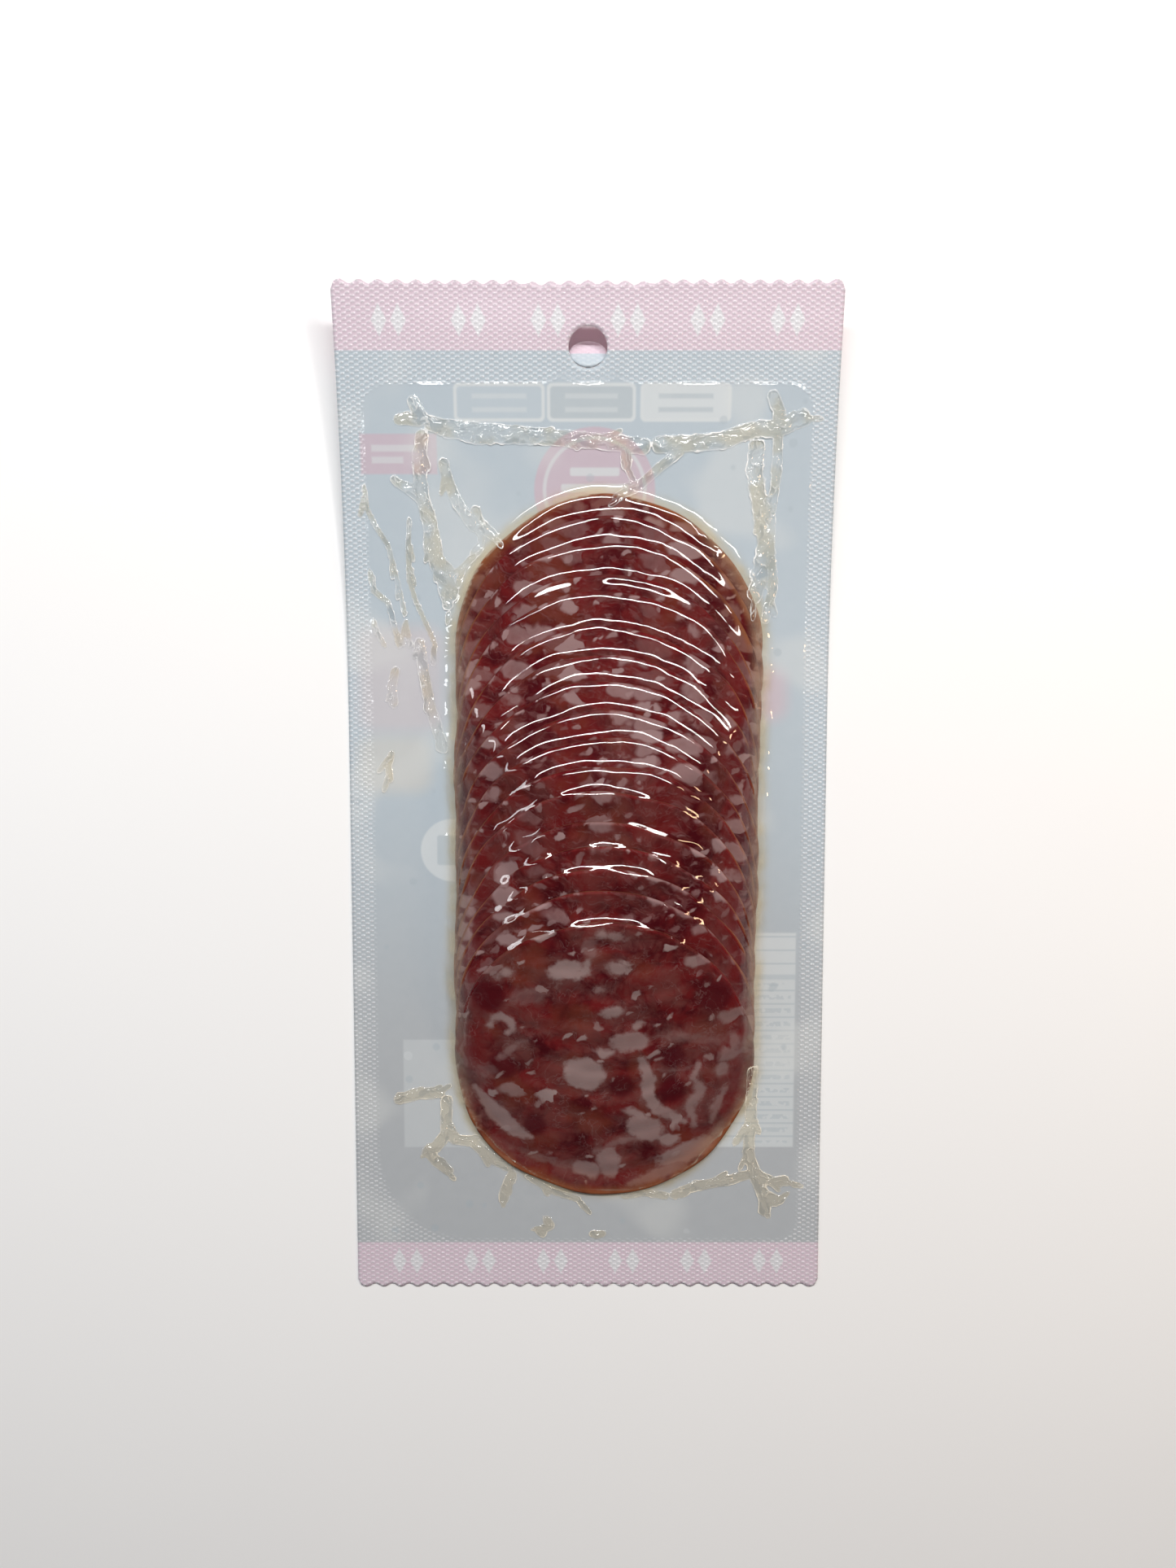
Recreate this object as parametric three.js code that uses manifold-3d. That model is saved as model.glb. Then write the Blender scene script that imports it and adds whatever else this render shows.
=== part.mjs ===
// A flat vacuum pack of sliced salami. Seventeen round slices lie shingled between two films, each
// one stepped towards -Y over the one before it, so that its +Y edge stands up on the pile and its
// -Y edge lies on the back film. The films are sealed to each other all round the pile, their two
// ends are cut in a wave, and a hang hole goes through both near the +Y end, which curls up.
// Millimetres, +Z up. The origin is under the middle of the pack, and +Y runs to the hang hole.
import * as THREE from "three";
import { mergeVertices } from "three/addons/utils/BufferGeometryUtils.js";
import Module from "manifold-3d";

// The sealed pack.
const PACK_WIDTH = 110;
const PACK_LENGTH = 230;
const CORNER_RADIUS = 2;
const WAVE_COUNT = 26;
const WAVE_DEPTH = 0.9;
const BACK_FILM_THICKNESS = 0.3;
const FRONT_FILM_THICKNESS = 0.2;
const LAYER_GAP = 0.06;

// The header curls up from a line across the pack to its +Y end.
const CURL_START = 20;
const CURL_HEIGHT = 12.5;

// The hang hole, on the pack's centre line.
const HOLE_DIAMETER = 8.4;
const HOLE_TO_END = 13.3;

// The slices. The first one is the lowest and the nearest to the hang hole.
const SLICE_COUNT = 17;
const SLICE_RADIUS = 35;
const SLICE_THICKNESS = 1.25;
const SLICE_PITCH = 5.87;
const FIRST_SLICE_Y = 36.2;
const FIRST_SLICE_X = 4.5;
const SLICE_DRIFT_X = -0.06;
// How far each slice has slipped along the pack from its even place in the row.
const SLICE_SLIP = [0, 1, 1, 0, 2, 0, -0.5, -0.5, -1, -1, -1, -0.5, -1.5, -1, 0, 1, 0];
// The casing leaves the sausage out of round: a little oval and a little three-cornered.
const OVAL_DEPTH = 0.35;
const OVAL_TURN = 0.4;
const THREE_CORNER_DEPTH = 0.25;
const THREE_CORNER_TURN = 1.1;

// Every layer is a sheet over the same grid of cells, so that stacked sheets keep their gap.
const COLUMNS = 14;
const ROWS = 36;
const GRID_MARGIN = 1;
const CELL_X = (PACK_WIDTH + 2 * GRID_MARGIN) / COLUMNS;
const CELL_Y = (PACK_LENGTH + 2 * GRID_MARGIN) / ROWS;

// A cutting prism reaches past the whole pack from below to above.
const PRISM_BOTTOM = -10;
const PRISM_TOP = 50;

// A slice lifts the grid points of each cell that comes this near to its outline.
const FOOTPRINT_REACH = 0.2;

const SLICE_SEGMENTS = 40;
const CORNER_SEGMENTS = 3;
const HOLE_SEGMENTS = 24;
const POINTS_PER_WAVE = 4;

const wasm = await Module();
wasm.setup();

function gridX(column) {
  return (column - COLUMNS / 2) * CELL_X;
}

function gridY(row) {
  return (row - ROWS / 2) * CELL_Y;
}

function gridIndex(column, row) {
  return row * (COLUMNS + 1) + column;
}

// The height of the pack's underside at a distance y along the pack.
function curl(y) {
  const run = PACK_LENGTH / 2 - CURL_START;
  const share = THREE.MathUtils.clamp((y - CURL_START) / run, 0, 1);
  return CURL_HEIGHT * share * share;
}

function undersideSurface() {
  const heights = [];
  for (let row = 0; row <= ROWS; row++)
    for (let column = 0; column <= COLUMNS; column++) heights.push(curl(gridY(row)));
  return heights;
}

function raised(surface, rise) {
  return surface.map((height) => height + rise);
}

function toManifold(geometry) {
  geometry.deleteAttribute("normal");
  geometry.deleteAttribute("uv");
  const merged = mergeVertices(geometry);
  const vertProperties = new Float32Array(merged.attributes.position.array);
  const triVerts = new Uint32Array(merged.index.array);
  return new wasm.Manifold(new wasm.Mesh({ numProp: 3, vertProperties, triVerts }));
}

function toGeometry(manifold) {
  const mesh = manifold.getMesh();
  const geometry = new THREE.BufferGeometry();
  geometry.setAttribute("position", new THREE.BufferAttribute(mesh.vertProperties, 3));
  geometry.setIndex(new THREE.BufferAttribute(mesh.triVerts, 1));
  geometry.computeVertexNormals();
  return geometry;
}

// A closed sheet over a block of cells. Its lower face is the surface, and its upper face lies one
// thickness above it.
function sheet(surface, thickness, block) {
  const across = block.lastColumn - block.firstColumn + 1;
  const along = block.lastRow - block.firstRow + 1;
  const layer = across * along;
  const positions = [];
  for (const rise of [0, thickness])
    for (let row = block.firstRow; row <= block.lastRow; row++)
      for (let column = block.firstColumn; column <= block.lastColumn; column++)
        positions.push(gridX(column), gridY(row), surface[gridIndex(column, row)] + rise);

  const corner = (column, row) => row * across + column;
  const faces = [];
  for (let row = 0; row < along - 1; row++)
    for (let column = 0; column < across - 1; column++) {
      const near = corner(column, row);
      const right = corner(column + 1, row);
      const far = corner(column + 1, row + 1);
      const left = corner(column, row + 1);
      faces.push(near, far, right, near, left, far);
      faces.push(near + layer, right + layer, far + layer, near + layer, far + layer, left + layer);
    }

  const rim = [];
  for (let column = 0; column < across - 1; column++) rim.push(corner(column, 0));
  for (let row = 0; row < along - 1; row++) rim.push(corner(across - 1, row));
  for (let column = across - 1; column > 0; column--) rim.push(corner(column, along - 1));
  for (let row = along - 1; row > 0; row--) rim.push(corner(0, row));
  rim.forEach((from, i) => {
    const to = rim[(i + 1) % rim.length];
    faces.push(from, to, to + layer, from, to + layer, from + layer);
  });

  const geometry = new THREE.BufferGeometry();
  geometry.setAttribute("position", new THREE.Float32BufferAttribute(positions, 3));
  geometry.setIndex(faces);
  return toManifold(geometry);
}

function wholeGrid() {
  return { firstColumn: 0, lastColumn: COLUMNS, firstRow: 0, lastRow: ROWS };
}

function prism(shape, curveSegments) {
  const depth = PRISM_TOP - PRISM_BOTTOM;
  const geometry = new THREE.ExtrudeGeometry(shape, { depth, bevelEnabled: false, curveSegments });
  geometry.translate(0, 0, PRISM_BOTTOM);
  return toManifold(geometry);
}

// One end of the pack, walked from side to side as a row of waves with their crests on the end.
function waveEnd(shape, end, direction) {
  const steps = WAVE_COUNT * POINTS_PER_WAVE;
  const straight = PACK_WIDTH - 2 * CORNER_RADIUS;
  for (let i = 0; i <= steps; i++) {
    const x = direction * straight * (i / steps - 0.5);
    const phase = (2 * Math.PI * i) / POINTS_PER_WAVE;
    const inset = (WAVE_DEPTH / 2) * (1 - Math.cos(phase));
    shape.lineTo(x, end * (PACK_LENGTH / 2 - inset));
  }
}

function packOutline() {
  const halfWidth = PACK_WIDTH / 2;
  const side = PACK_LENGTH / 2 - CORNER_RADIUS;
  const inner = halfWidth - CORNER_RADIUS;
  const shape = new THREE.Shape();
  shape.moveTo(-halfWidth, -side);
  shape.absarc(-inner, -side, CORNER_RADIUS, Math.PI, 1.5 * Math.PI);
  waveEnd(shape, -1, 1);
  shape.absarc(inner, -side, CORNER_RADIUS, 1.5 * Math.PI, 2 * Math.PI);
  shape.absarc(inner, side, CORNER_RADIUS, 0, 0.5 * Math.PI);
  waveEnd(shape, 1, -1);
  shape.absarc(-inner, side, CORNER_RADIUS, 0.5 * Math.PI, Math.PI);
  return shape;
}

function hangHole() {
  const shape = new THREE.Shape();
  shape.absarc(0, PACK_LENGTH / 2 - HOLE_TO_END, HOLE_DIAMETER / 2, 0, 2 * Math.PI);
  return prism(shape, HOLE_SEGMENTS / 2);
}

function sliceCentre(index) {
  const x = FIRST_SLICE_X + SLICE_DRIFT_X * index;
  const y = FIRST_SLICE_Y - SLICE_PITCH * index + SLICE_SLIP[index];
  return new THREE.Vector2(x, y);
}

// The distance from a slice's centre to its edge, the same in every slice.
function sliceEdge(angle) {
  const oval = OVAL_DEPTH * Math.cos(2 * angle + OVAL_TURN);
  const threeCorner = THREE_CORNER_DEPTH * Math.cos(3 * angle + THREE_CORNER_TURN);
  return SLICE_RADIUS + oval + threeCorner;
}

function sliceOutline(centre) {
  const points = [];
  for (let i = 0; i < SLICE_SEGMENTS; i++) {
    const angle = (2 * Math.PI * i) / SLICE_SEGMENTS;
    const edge = sliceEdge(angle);
    points.push(
      new THREE.Vector2(
        centre.x + edge * Math.cos(angle),
        centre.y + edge * Math.sin(angle),
      ),
    );
  }
  return new THREE.Shape(points);
}

function cellMeetsSlice(column, row, centre) {
  const nearestX = THREE.MathUtils.clamp(centre.x, gridX(column), gridX(column + 1));
  const nearestY = THREE.MathUtils.clamp(centre.y, gridY(row), gridY(row + 1));
  const apart = Math.hypot(nearestX - centre.x, nearestY - centre.y);
  return apart < sliceEdge(Math.atan2(nearestY - centre.y, nearestX - centre.x)) + FOOTPRINT_REACH;
}

// The grid points under a slice, and the block of cells that holds them all.
function sliceFootprint(centre) {
  const corners = new Set();
  const block = { firstColumn: COLUMNS, lastColumn: 0, firstRow: ROWS, lastRow: 0 };
  for (let row = 0; row < ROWS; row++)
    for (let column = 0; column < COLUMNS; column++) {
      if (!cellMeetsSlice(column, row, centre)) continue;
      corners.add(gridIndex(column, row));
      corners.add(gridIndex(column + 1, row));
      corners.add(gridIndex(column, row + 1));
      corners.add(gridIndex(column + 1, row + 1));
      block.firstColumn = Math.min(block.firstColumn, column);
      block.lastColumn = Math.max(block.lastColumn, column + 1);
      block.firstRow = Math.min(block.firstRow, row);
      block.lastRow = Math.max(block.lastRow, row + 1);
    }
  return { corners, block };
}

function meatMaterial() {
  return new THREE.MeshStandardMaterial({ color: 0x8c3430, roughness: 0.45, metalness: 0 });
}

function backFilmMaterial() {
  return new THREE.MeshStandardMaterial({ color: 0xc4cfd6, roughness: 0.4, metalness: 0 });
}

function frontFilmMaterial() {
  return new THREE.MeshStandardMaterial({
    color: 0xe9edf0,
    roughness: 0.12,
    metalness: 0,
    transparent: true,
    opacity: 0.3,
  });
}

function namedMesh(name, manifold, material) {
  const mesh = new THREE.Mesh(toGeometry(manifold), material);
  mesh.name = name;
  return mesh;
}

function filmSheet(surface, thickness, outline, hole) {
  return sheet(surface, thickness, wholeGrid()).intersect(outline).subtract(hole);
}

// The layers are laid from the bottom up. The surface holds what the next layer lies on.
function buildPack() {
  const pack = new THREE.Group();
  const outline = prism(packOutline(), CORNER_SEGMENTS);
  const hole = hangHole();

  let surface = undersideSurface();
  const back = filmSheet(surface, BACK_FILM_THICKNESS, outline, hole);
  pack.add(namedMesh("back_film", back, backFilmMaterial()));
  surface = raised(surface, BACK_FILM_THICKNESS + LAYER_GAP);

  for (let index = 0; index < SLICE_COUNT; index++) {
    const centre = sliceCentre(index);
    const { corners, block } = sliceFootprint(centre);
    const cutter = prism(sliceOutline(centre), 1);
    const slice = sheet(surface, SLICE_THICKNESS, block).intersect(cutter);
    const name = "slice_" + String(index + 1).padStart(2, "0");
    pack.add(namedMesh(name, slice, meatMaterial()));
    for (const corner of corners) surface[corner] += SLICE_THICKNESS + LAYER_GAP;
  }

  const front = filmSheet(surface, FRONT_FILM_THICKNESS, outline, hole);
  pack.add(namedMesh("front_film", front, frontFilmMaterial()));
  return pack;
}

export default buildPack();
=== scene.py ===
"""The look of a vacuum pack of sliced salami: shingled slices under a clear film on an opaque film."""

import math

import bpy
import numpy as np
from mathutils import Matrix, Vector


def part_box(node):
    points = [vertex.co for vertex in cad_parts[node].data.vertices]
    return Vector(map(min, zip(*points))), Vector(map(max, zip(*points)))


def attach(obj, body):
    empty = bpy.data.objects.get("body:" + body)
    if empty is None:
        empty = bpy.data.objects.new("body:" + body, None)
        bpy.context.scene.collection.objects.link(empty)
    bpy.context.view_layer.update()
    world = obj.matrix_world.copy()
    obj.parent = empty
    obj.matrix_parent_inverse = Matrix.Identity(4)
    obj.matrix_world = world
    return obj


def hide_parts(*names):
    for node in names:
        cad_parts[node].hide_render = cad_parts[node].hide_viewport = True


MM = 0.001

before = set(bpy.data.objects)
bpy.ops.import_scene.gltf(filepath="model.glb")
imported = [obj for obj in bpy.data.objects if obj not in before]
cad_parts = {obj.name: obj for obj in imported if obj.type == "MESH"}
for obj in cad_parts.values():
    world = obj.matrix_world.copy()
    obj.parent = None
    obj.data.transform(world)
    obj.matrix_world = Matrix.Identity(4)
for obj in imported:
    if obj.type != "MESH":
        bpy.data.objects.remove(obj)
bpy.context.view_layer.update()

# ---- Measures, in millimetres. The frame gives the sizes and places of the CAD nodes.


def node_box(name):
    low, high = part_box(name)
    return np.array(low) / MM, np.array(high) / MM


film_low, film_high = node_box("back_film")
HALF_WIDTH = film_high[0]
HALF_LENGTH = film_high[1]
BACK_THICKNESS = 0.3
CURL_START = 20.0
CURL_HEIGHT = film_high[2] - BACK_THICKNESS
WAVE_COUNT = 26
WAVE_DEPTH = 0.9
CORNER_RADIUS = 2.0
HOLE_RADIUS = 4.2
HOLE_Y = HALF_LENGTH - 13.3
# Beyond this the header's edge is a little slack and droops.
SLACK_START = 104.0
SLACK_DEPTH = 0.3

SLICE_NAMES = sorted(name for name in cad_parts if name.startswith("slice_"))
SLICE_BOXES = [node_box(name) for name in SLICE_NAMES]
SLICE_CENTRES = [(low + high) / 2 for low, high in SLICE_BOXES]
SLICE_RADIUS = 35.0
SLICE_PITCH = (SLICE_CENTRES[0][1] - SLICE_CENTRES[-1][1]) / (len(SLICE_NAMES) - 1)
PILE_TOP = node_box("front_film")[1][2]

# The outline's departures from a circle: depth, how many times round, and turn.
ROUNDNESS_FAULTS = [(0.35, 2, 0.4), (0.25, 3, 1.1)]
# The unevenness that differs between slices: depth, how many times round, and turn per slice.
SLICE_FAULTS = [(0.22, 5, 0.9), (0.16, 8, 1.7), (0.10, 13, 2.3)]
# Where the film presses the topmost slice's edge in: depth, angle and spread of the angle.
TOP_PRESSED = [(1.3, -0.72, 0.2), (1.2, -2.35, 0.25), (0.9, -1.55, 0.22)]
# How far the outline keeps within the CAD's.
OUTLINE_INSET = 0.35

# The pocket inside the seal.
POCKET_SIDE = 49.8
POCKET_TOP = 94.5
POCKET_BOTTOM = -103.5
# Where the pink end bands begin.
PINK_TOP = 101.0
PINK_BOTTOM = -104.0


# ---- Shape helpers.


def smooth(value, low, high):
    share = np.clip((value - low) / (high - low), 0, 1)
    return share * share * (3 - 2 * share)


def ripples(x, y, seed, wavelength, count=7):
    """A gentle random surface between about -1 and 1, the same in every run."""
    dice = np.random.default_rng(seed)
    total = np.zeros(np.broadcast(x, y).shape)
    for _ in range(count):
        angle = dice.uniform(0, math.pi)
        length = wavelength * dice.uniform(0.7, 1.6)
        along = x * math.cos(angle) + y * math.sin(angle)
        total += np.sin(2 * math.pi * along / length + dice.uniform(0, 2 * math.pi))
    return total / math.sqrt(count)


def underside(x, y):
    """The height of the pack's underside: flat, then curling up, with a slack header edge."""
    share = np.clip((y - CURL_START) / (HALF_LENGTH - CURL_START), 0, 1)
    droop = smooth(y, SLACK_START, SLACK_START + 10) * (ripples(x, y * 0.3, 5, 60, 4) - 1.0)
    return CURL_HEIGHT * share * share + SLACK_DEPTH * droop


def slice_edge(index, angle):
    """The radius of a slice's outline: out of round as the sausage is, and a little uneven."""
    edge = SLICE_RADIUS - OUTLINE_INSET
    edge += sum(depth * np.cos(times * angle + turn) for depth, times, turn in ROUNDNESS_FAULTS)
    edge += sum(depth * np.sin(times * angle + turn * index) for depth, times, turn in SLICE_FAULTS)
    if index == len(SLICE_NAMES) - 1:
        for depth, middle, reach in TOP_PRESSED:
            edge = edge - depth * np.exp(-(((angle - middle) / reach) ** 2))
    return edge


def inside_slice(index, x, y):
    """How far a point lies inside the slice's outline; negative outside it."""
    dx = x - SLICE_CENTRES[index][0]
    dy = y - SLICE_CENTRES[index][1]
    return slice_edge(index, np.arctan2(dy, dx)) - np.hypot(dx, dy)


def cover(index, x, y):
    """The share of a slice's thickness that it lifts the slices lying on it."""
    return smooth(inside_slice(index, x, y), -0.45 * SLICE_PITCH, 0.55 * SLICE_PITCH)


def deepest_pile():
    """How many slice thicknesses the pile holds where it is deepest."""
    x = np.full(400, SLICE_CENTRES[len(SLICE_NAMES) // 2][0])
    y = np.linspace(-HALF_LENGTH, HALF_LENGTH, 400)
    return sum(cover(index, x, y) for index in range(len(SLICE_NAMES))).max()


FILM_CLEARANCE = 0.12
# How far the drawn film stands above the slices where it spans their edges.
FILM_LIFT = 0.34
# Room left under the CAD's top for the film's and the slices' unevenness.
PILE_HEADROOM = 0.5
SLICE_THICKNESS = (PILE_TOP - BACK_THICKNESS - FILM_LIFT - PILE_HEADROOM) / deepest_pile()
EDGE_ROUND = 0.65


def slice_underside(index, x, y):
    """The height at which a slice lies on those below it."""
    lower = sum((cover(i, x, y) for i in range(index)), np.zeros(np.shape(x)))
    return underside(x, y) + BACK_THICKNESS + SLICE_THICKNESS * lower


def slice_swell(index, x, y):
    """The gentle unevenness of a slice's top."""
    return 0.10 * ripples(x, y, 100 + index, 9) + 0.05 * ripples(x, y, 200 + index, 4)


# ---- Mesh helpers.


def make_object(name, vertices, faces):
    mesh = bpy.data.meshes.new(name)
    mesh.from_pydata((np.asarray(vertices) * MM).tolist(), [], faces)
    mesh.shade_smooth()
    made = bpy.data.objects.new(name, mesh)
    bpy.context.scene.collection.objects.link(made)
    return made


def point_list(x, y, z):
    """Grids of coordinates as one list of points."""
    return np.stack([x, y, z], axis=-1).reshape(-1, 3)


def set_number(obj, name, values):
    layer = obj.data.attributes.new(name, "FLOAT", "POINT")
    layer.data.foreach_set("value", np.asarray(values, dtype=np.float32).ravel())


def set_vector(obj, name, values):
    layer = obj.data.attributes.new(name, "FLOAT_VECTOR", "POINT")
    layer.data.foreach_set("vector", np.asarray(values, dtype=np.float32).ravel())


def grid_faces(rows, columns, keep=None):
    corner = np.arange(rows * columns).reshape(rows, columns)
    quads = np.stack(
        [corner[:-1, :-1], corner[:-1, 1:], corner[1:, 1:], corner[1:, :-1]], axis=-1
    )
    if keep is not None:
        quads = quads[keep]
    return quads.reshape(-1, 4).tolist()


def ring_faces(rings, segments):
    """Faces between closed rings of points, each ring beginning at the same angle."""
    corner = np.arange(rings * segments).reshape(rings, segments)
    after = np.roll(corner, -1, 1)
    quads = np.stack([corner[:-1], corner[1:], after[1:], after[:-1]], axis=-1)
    return quads.reshape(-1, 4).tolist()


def drop_loose(vertices, faces, *layers):
    """Drops the points that no face uses, from the vertices and from each layer of values."""
    used = np.unique(np.asarray(faces))
    renumber = np.zeros(len(vertices), dtype=int)
    renumber[used] = np.arange(len(used))
    kept = [np.asarray(layer).reshape(len(vertices), -1)[used] for layer in layers]
    return np.asarray(vertices)[used], renumber[np.asarray(faces)].tolist(), kept


class PackGrid:
    """A grid over the whole pack that follows its waved ends, round corners and hang hole.

    The ring of points RING steps from the hole's middle becomes the hole's edge, and the rings up to
    SPREAD steps away lead over to the square grid.
    """

    RING = 8
    SPREAD = 20
    END_DEPTH = 6

    def __init__(self, step):
        half_columns = round(HALF_WIDTH / step)
        below = round((HALF_LENGTH + HOLE_Y) / step)
        above = round((HALF_LENGTH - HOLE_Y) / step)
        columns = np.linspace(-HALF_WIDTH, HALF_WIDTH, 2 * half_columns + 1)
        rows = np.concatenate(
            [
                np.linspace(-HALF_LENGTH, HOLE_Y, below + 1),
                np.linspace(HOLE_Y, HALF_LENGTH, above + 1)[1:],
            ]
        )
        self.flat_x, self.flat_y = np.meshgrid(columns, rows)
        self.step_x = columns[1] - columns[0]
        self.step_y = rows[1] - rows[0]
        across = np.arange(len(columns)) - half_columns
        along = np.arange(len(rows)) - below
        self.across, self.along = np.meshgrid(across, along)
        self.x, self.y = self.follow_outline()

    def follow_outline(self):
        x, y = self.flat_x, self.flat_y
        straight = HALF_WIDTH - CORNER_RADIUS
        phase = 2 * math.pi * WAVE_COUNT * (x + straight) / (2 * straight)
        inset = np.where(np.abs(x) < straight, WAVE_DEPTH / 2 * (1 - np.cos(phase)), 0)
        past = np.clip(np.abs(x) - straight, 0, CORNER_RADIUS)
        inset = inset + CORNER_RADIUS - np.sqrt(CORNER_RADIUS**2 - past**2)
        pull = np.clip((np.abs(y) - HALF_LENGTH) / self.END_DEPTH + 1, 0, 1)
        y = y - np.sign(y) * inset * pull

        ring = np.maximum(np.abs(self.across), np.abs(self.along))
        angle = np.arctan2(self.along, self.across)
        radius = HOLE_RADIUS + (ring - self.RING) * self.step_x
        share = smooth(ring, self.RING, self.SPREAD)
        near = ring < self.SPREAD
        round_x = radius * np.cos(angle)
        round_y = HOLE_Y + radius * np.sin(angle)
        x = np.where(near, round_x * (1 - share) + x * share, x)
        y = np.where(near, round_y * (1 - share) + y * share, y)
        return x, y

    def faces(self):
        ring = np.maximum(np.abs(self.across), np.abs(self.along))
        middle = np.maximum.reduce([ring[:-1, :-1], ring[:-1, 1:], ring[1:, 1:], ring[1:, :-1]])
        return grid_faces(*self.x.shape, keep=middle > self.RING)


# ---- The film's folds, as routes over the pack.

# Each fold is its points, its height and its width.
FOLDS = [
    ([(-39, 92), (-37.5, 89), (-36, 86)], 0.7, 0.9),
    ([(-43, 87), (-40, 87), (-36, 86.5)], 0.6, 0.8),
    ([(-36, 86.5), (-31, 85), (-25, 83.5), (-15, 83.5), (-6, 83), (7, 82), (14, 81)], 0.7, 1.1),
    ([(-36, 86.5), (-25, 85.5), (-8, 84), (7, 82.5), (14, 82)], 0.6, 0.6),
    ([(8.5, 82), (8.5, 76)], 0.5, 0.8),
    ([(14, 81.5), (23, 82), (30, 82.5), (33.5, 84), (38, 85), (42, 85), (49, 88)], 0.8, 1.2),
    ([(40, 93), (42, 88.5), (42, 84)], 0.7, 0.9),
    ([(37.5, 83), (37, 76), (38.5, 68.5), (40, 60.5), (38.5, 51), (37, 47.5)], 0.9, 1.2),
    ([(42, 84.5), (42, 76), (41, 67), (41, 59), (42, 51), (40, 42.5)], 0.6, 0.7),
    ([(-36.5, 85), (-37.5, 77.5), (-37, 71), (-35.5, 64), (-35.5, 59), (-33.5, 54)], 0.7, 1.0),
    ([(-33.5, 54), (-31.5, 45.5)], 0.6, 0.8),
    ([(-44, 75), (-38, 70.5), (-35, 66.5), (-33.5, 57.5), (-31.5, 54), (-30.5, 47.5)], 0.5, 0.6),
    ([(-32.5, 79), (-31, 73.5), (-29, 69), (-25, 63)], 0.5, 0.8),
    ([(-25.5, 69), (-24.5, 65), (-20.5, 61.5)], 0.5, 0.8),
    ([(-23.5, 63), (-24.5, 59), (-28.5, 55), (-29.5, 50.5)], 0.4, 0.5),
    ([(-50, 73.5), (-49.5, 68), (-47.5, 64), (-45, 60), (-43, 51.5), (-41.5, 44)], 0.3, 0.32),
    ([(-41.5, 44), (-40.5, 37)], 0.3, 0.32),
    ([(-40, 66.5), (-40.5, 59), (-40.5, 52.5), (-39, 47.5), (-37, 43), (-34.5, 37)], 0.3, 0.32),
    ([(-49.5, 55), (-48.5, 50), (-45.5, 47.5), (-44.5, 44), (-43, 37)], 0.3, 0.4),
    ([(-49, 44), (-48, 40.5), (-46, 37)], 0.3, 0.35),
    ([(-38.5, 39.5), (-37.5, 31), (-36, 23), (-34.5, 18), (-33, 13)], 0.6, 0.8),
    ([(-44, 33), (-45, 28), (-44.5, 23.5)], 0.4, 0.7),
    ([(-45, 14), (-46, 10), (-45.5, 6)], 0.3, 0.5),
    ([(21.5, 81), (16, 77), (11.5, 73), (5.5, 70)], 0.5, 0.7),
    ([(-46, -69), (-40, -67.5), (-33.5, -67)], 0.7, 0.9),
    ([(-33.5, -67.5), (-33.5, -77), (-36, -80.5), (-39, -81.5)], 0.6, 0.9),
    ([(-39, -80.5), (-36, -84), (-32, -87)], 0.6, 0.8),
    ([(-33.5, -74), (-31.5, -78.5), (-27.5, -79), (-23, -83), (-17.5, -86)], 0.6, 0.8),
    ([(-17.5, -86), (-19.5, -90.5), (-20.5, -94.5)], 0.6, 0.8),
    ([(-15, -87), (-9, -91), (-1.5, -93.5)], 0.4, 0.5),
    ([(7.5, -92.5), (13.5, -91.5), (19.5, -92.5)], 0.5, 0.6),
    ([(19.5, -92.5), (25.5, -90), (33, -88.5), (39, -87)], 0.7, 0.8),
    ([(34.5, -80), (37.5, -75.5), (39.5, -72.5)], 0.4, 0.6),
    ([(38.5, -60), (38.5, -74), (38, -81.5), (39.5, -87), (42, -93), (42, -97.5)], 0.7, 0.9),
    ([(39.5, -87), (44, -89), (48, -88.5)], 0.6, 0.8),
    ([(39.5, -87), (43.5, -94), (47, -93)], 0.5, 0.7),
    ([(-10.5, -97.5), (-9, -99.5), (-11.5, -101), (-10, -102.5)], 0.5, 0.7),
    ([(0, -101.5), (2, -102), (4.5, -101.5)], 0.4, 0.6),
]


def side_creases():
    """Fine creases that run off the folds at a slant, as crumpled film has them."""
    dice = np.random.default_rng(11)
    creases = []
    for points, height, width in FOLDS:
        for (x0, y0), (x1, y1) in zip(points, points[1:]):
            length = math.hypot(x1 - x0, y1 - y0)
            heading = math.atan2(y1 - y0, x1 - x0)
            for _ in range(round(length * width / 3.5)):
                share = dice.uniform(0, 1)
                turn = heading + dice.choice([-1, 1]) * dice.uniform(0.15, 0.5)
                reach = dice.uniform(2.5, 6)
                start = (x0 + share * (x1 - x0), y0 + share * (y1 - y0))
                end = (start[0] + reach * math.cos(turn), start[1] + reach * math.sin(turn))
                creases.append(([start, end], height * 0.3, 0.4))
    return creases


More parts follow.
